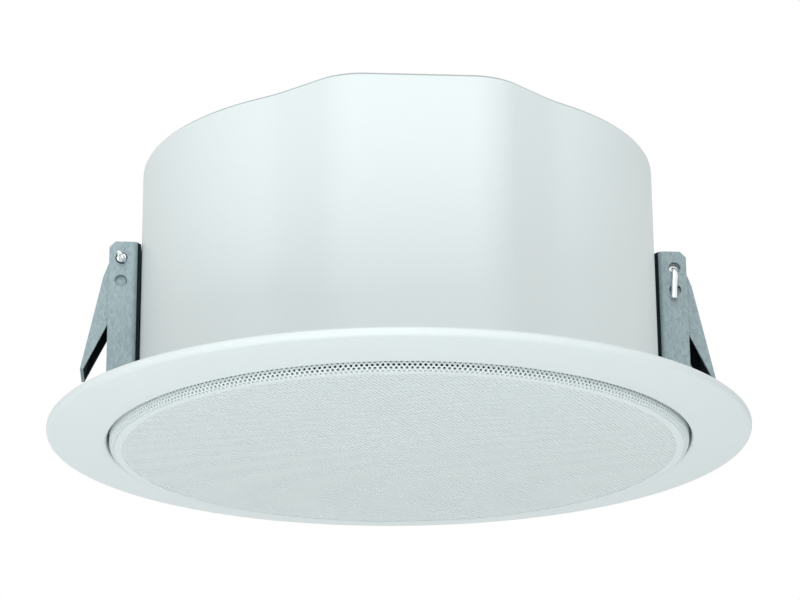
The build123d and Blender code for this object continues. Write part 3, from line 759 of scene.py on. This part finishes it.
def build_motor():
    for node in ("top_plate", "ferrite_magnet"):
        inner, outer = node_radii(node)
        low, high = node_heights(node)
        section = eased([(inner, low), (outer, low), (outer, high), (inner, high)], MOTOR_EDGE, 3)
        turned_piece("turned_" + node, node, section)
    low, high = node_heights("pole_yoke")
    outer = node_radii("pole_yoke")[1]
    pole = node_radii("voice_coil")[0] - POLE_CLEARANCE
    section = [(AXIS_R, low), (pole, low), (pole, high - YOKE_T), (outer, high - YOKE_T), (outer, high)]
    turned_piece("turned_pole_yoke", "pole_yoke", eased(section + [(AXIS_R, high)], MOTOR_EDGE, 3))


def build_moving_parts():
    inner, outer = node_radii("voice_coil")
    low, high = node_heights("voice_coil")
    former = outer - COIL_WINDING_T
    wound = high - COIL_WINDING_H
    section = [(inner, low), (former, low), (former, wound), (outer, wound), (outer, high), (inner, high)]
    turned_piece("turned_voice_coil", "voice_coil", section, "moving_coil")

    neck, edge = node_radii("cone")
    low, high = node_heights("cone")
    radii = list(np.linspace(neck + CONE_T, edge, CONE_ROWS))

    def cone_height(r):
        share = (edge - r) / (edge - neck)
        ribbed = CONE_RIBBED[0] < share < CONE_RIBBED[1]
        rib = CONE_RIB * max(0.0, sin(share * CONE_RIBS * tau)) if ribbed else 0.0
        return low + CONE_T / 2 + (high - low - CONE_T) * share ** CONE_FLARE - rib

    turned_piece("pressed_cone", "cone", sheet_profile(radii, cone_height, CONE_T), "moving_coil")

    cap_r = node_radii("dust_cap")[1]
    cap_low, cap_high = node_heights("dust_cap")
    radii = list(np.linspace(AXIS_R, cap_r, CAP_ROWS))

    def dome(r):
        return cap_high - (cap_high - cap_low) * cos(pi / 2 * r / cap_r)

    turned_piece("domed_dust_cap", "dust_cap", sheet_profile(radii, dome, CONE_T), "moving_coil")


def build_surround():
    """A half roll, in an outer and an inner half that meet at the crest."""
    inner, outer = node_radii("surround")
    low, high = node_heights("surround")
    lap = high - SURROUND_T / 2
    crest_r = (inner + outer) / 2
    half = ROLL_W / 2

    def roll(r):
        return lap - (lap - low - SURROUND_T / 2) * max(0.0, cos(pi / 2 * (r - crest_r) / half))

    halves = (
        ("surround_outer_half", crest_r, outer, "housing", "moving_coil"),
        ("surround_inner_half", inner, crest_r, "moving_coil", "housing"),
    )
    for name, near, far, carrier, other in halves:
        section = sheet_profile(list(np.linspace(near, far, SURROUND_ROWS)), roll, SURROUND_T)
        piece = make_object(name, *turned(section, DRIVER_SIDES), slot_of["surround"])
        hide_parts("surround")
        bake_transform(piece)


def build_spider():
    """A folded disc that drops a little towards the coil."""
    inner, outer = node_radii("spider")
    low, high = node_heights("spider")
    thickness = high - low
    fold_end = outer - SPIDER_SEAT

    def folds(r):
        share = max(0.0, (fold_end - r) / (fold_end - inner))
        wave = SPIDER_FOLD * sin(share * SPIDER_FOLDS * tau) * (share < SPIDER_FOLDED)
        return high - thickness / 2 - SPIDER_DROP * share + wave

    section = sheet_profile(list(np.linspace(inner, outer, SPIDER_ROWS)), folds, thickness)
    piece = make_object("folded_spider", *turned(section, DRIVER_SIDES), slot_of["spider"])
    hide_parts("spider")
    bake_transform(piece)


# Fasteners and cable inlet

def islands(node, apart):
    """The separate upright solids of a node: their centres, lower and upper ends, and radii at both ends."""
    groups = []
    for point in node_points(node):
        for group in groups:
            if np.hypot(*(group[0][:2] - point[:2])) < apart:
                group.append(point)
                break
        else:
            groups.append([point])
    found = []
    for group in groups:
        group = np.array(group)
        centre = (group.min(0) + group.max(0)) / 2
        radii = np.hypot(*(group[:, :2] - centre[:2]).T)
        low, high = group[:, 2].min(), group[:, 2].max()
        low_r, high_r = (radii[abs(group[:, 2] - z) < SAME_END].max() for z in (low, high))
        found.append((centre, low, high, low_r, high_r))
    return found


def cross_head():
    """A pan head with a cross recess, its seat at z = 0."""
    section = [(AXIS_R, 0), (SCREW_HEAD_R, 0), (SCREW_HEAD_R, HEAD_SIDE * SCREW_HEAD_H)]
    for a in HEAD_DOME:
        height = HEAD_SIDE + (1 - HEAD_SIDE) * cos(a)
        section.append((SCREW_HEAD_R * sin(a), SCREW_HEAD_H * height))
    head = make_object("head", *turned(section, SMALL_SIDES), "fastener_zinc")
    made = [head]
    for size in ((RECESS_L, RECESS_W), (RECESS_W, RECESS_L)):
        bpy.ops.mesh.primitive_cube_add(size=1, location=(0, 0, SCREW_HEAD_H / 1000))
        cutter = bpy.context.object
        cutter.scale = (size[0] / 1000, size[1] / 1000, RECESS_H / 1000)
        cut = head.modifiers.new("recess", "BOOLEAN")
        cut.object = cutter
        made.append(cutter)
    bpy.context.view_layer.update()
    mesh = head.evaluated_get(bpy.context.evaluated_depsgraph_get()).to_mesh()
    points = [tuple(1000 * v.co) for v in mesh.vertices]
    faces = [tuple(f.vertices) for f in mesh.polygons]
    for piece in made:
        bpy.data.objects.remove(piece)
    return points, faces


def build_screws():
    head = cross_head()
    upside_down = Matrix.Rotation(pi, 3, "X")
    for node in ("can_screws", "driver_screws", "transformer_screws", "terminal_screws"):
        parts = []
        for centre, low, high, low_r, high_r in islands(node, 2 * SCREW_HEAD_R):
            up = high_r > low_r
            seat = high - SCREW_HEAD_H if up else low + SCREW_HEAD_H
            parts.append(moved(head, (centre[0], centre[1], seat), None if up else upside_down))
            ends = (low, seat) if up else (seat, high)
            shank = [(AXIS_R, ends[0]), (SCREW_R, ends[0]), (SCREW_R, ends[1]), (AXIS_R, ends[1])]
            parts.append(moved(turned(shank, SMALL_SIDES), (centre[0], centre[1], 0)))
        place(make_object("cross_" + node, *joined(parts), slot_of[node]), "housing", node)


def build_rivets():
    parts = []
    for centre, low, high, _, head_r in islands("bracket_rivets", 2 * SCREW_HEAD_R):
        dome = [(head_r * sin(a), RIVET_HEAD_H * cos(a)) for a in RIVET_DOME]
        section = [(r, high - RIVET_HEAD_H + z) for r, z in dome]
        section += [(SCREW_R, high - RIVET_HEAD_H), (SCREW_R, low + RIVET_HEAD_H)]
        section += [(r, low + RIVET_HEAD_H - z) for r, z in reversed(dome)]
        parts.append(moved(turned(section, SMALL_SIDES), (centre[0], centre[1], 0)))
    place(make_object("domed_rivets", *joined(parts), slot_of["bracket_rivets"]), "housing", "bracket_rivets")


def build_grommet():
    low_corner, high_corner = (1000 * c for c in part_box("cable_grommet"))
    centre = (low_corner + high_corner) / 2
    outer = (high_corner.x - low_corner.x) / 2
    can_top = node_heights("back_can")[1]
    section = [
        (GROMMET_BORE_R, low_corner.z),
        (outer, low_corner.z),
        (outer, can_top - CAN_WALL),
        (GROMMET_HOLE_R, can_top - CAN_WALL),
        (GROMMET_HOLE_R, can_top),
        (outer, can_top),
        (outer, high_corner.z),
        (GROMMET_BORE_R, high_corner.z),
    ]
    part = moved(turned(eased(section, GROMMET_ROUND), 2 * SMALL_SIDES), (centre.x, centre.y, 0))
    place(make_object("moulded_grommet", *part, slot_of["cable_grommet"]), "housing", "cable_grommet")


def build_finishes():
    """Every CAD node takes the finish of its slot."""
    for name, node in nodes.items():
        node.data.materials.clear()
        node.data.materials.append(FINISHES[slot_of[name]])


# Stage

def build_stage():
    bpy.ops.mesh.primitive_plane_add(size=FLOOR_SIZE / 1000, location=(0, 0, FLOOR_Z / 1000))
    floor = bpy.context.object
    floor.name = "floor"
    paint = finish("floor_paint", colour=(0.86, 0.88, 0.88), roughness=0.8, mottle=0.01, scale=2, grain=0.02)
    floor.data.materials.append(paint)


def build_lights():
    for name, (where, size, power) in SOFTBOXES.items():
        light = bpy.data.lights.new(name, "AREA")
        light.shape = "DISK"
        light.size = size / 1000
        light.energy = power
        light.color = WORLD_TINT
        lamp = linked(name, light)
        lamp.location = Vector(where) / 1000
        aim = Vector((0, 0, LIGHT_AIM_Z / 1000)) - lamp.location
        lamp.rotation_euler = aim.to_track_quat("-Z", "Y").to_euler()


def build_world():
    """A pale room light, with plain white behind the object and in its reflections."""
    world = bpy.data.worlds.new("studio")
    bpy.context.scene.world = world
    world.use_nodes = True
    tree = world.node_tree
    room = tree.nodes["Background"]
    room.inputs["Color"].default_value = (*WORLD_TINT, 1)
    room.inputs["Strength"].default_value = WORLD_STRENGTH
    white = tree.nodes.new("ShaderNodeBackground")
    white.inputs["Color"].default_value = (1, 1, 1, 1)
    rays = tree.nodes.new("ShaderNodeLightPath")
    shows_white = rays.outputs["Is Camera Ray"]
    for kind in ("Is Glossy Ray", "Is Transmission Ray"):
        either = tree.nodes.new("ShaderNodeMath")
        either.operation = "MAXIMUM"
        tree.links.new(shows_white, either.inputs[0])
        tree.links.new(rays.outputs[kind], either.inputs[1])
        shows_white = either.outputs[0]
    mix = tree.nodes.new("ShaderNodeMixShader")
    tree.links.new(shows_white, mix.inputs[0])
    tree.links.new(room.outputs[0], mix.inputs[1])
    tree.links.new(white.outputs[0], mix.inputs[2])
    tree.links.new(mix.outputs[0], tree.nodes["World Output"].inputs[0])


def build_camera():
    camera = bpy.data.cameras.new("camera")
    camera.lens = CAMERA_LENS
    camera.sensor_width = CAMERA_SENSOR
    camera.clip_start = CAMERA_CLIP / 1000
    eye = linked("camera", camera)
    below = radians(CAMERA_BELOW)
    round_axis = Matrix.Rotation(-radians(CAMERA_LEFT), 4, "Z")
    away = Vector((0, -cos(below), -sin(below))) * CAMERA_DISTANCE / 1000
    tilt = Matrix.Rotation(pi / 2 + radians(CAMERA_PITCH), 4, "X")
    roll = Matrix.Rotation(radians(CAMERA_ROLL), 4, "Z")
    turn = Matrix.Rotation(-radians(CAMERA_TURN), 4, "Z")
    eye.matrix_world = round_axis @ Matrix.Translation(away) @ turn @ tilt @ roll
    bpy.context.scene.camera = eye


build_finishes()
build_flange()
build_grille()
build_can()
build_clamps()
build_motor()
build_moving_parts()
build_surround()
build_spider()
build_screws()
build_rivets()
build_grommet()
build_stage()
build_lights()
build_world()
build_camera()
bpy.context.scene.view_settings.view_transform = "Standard"
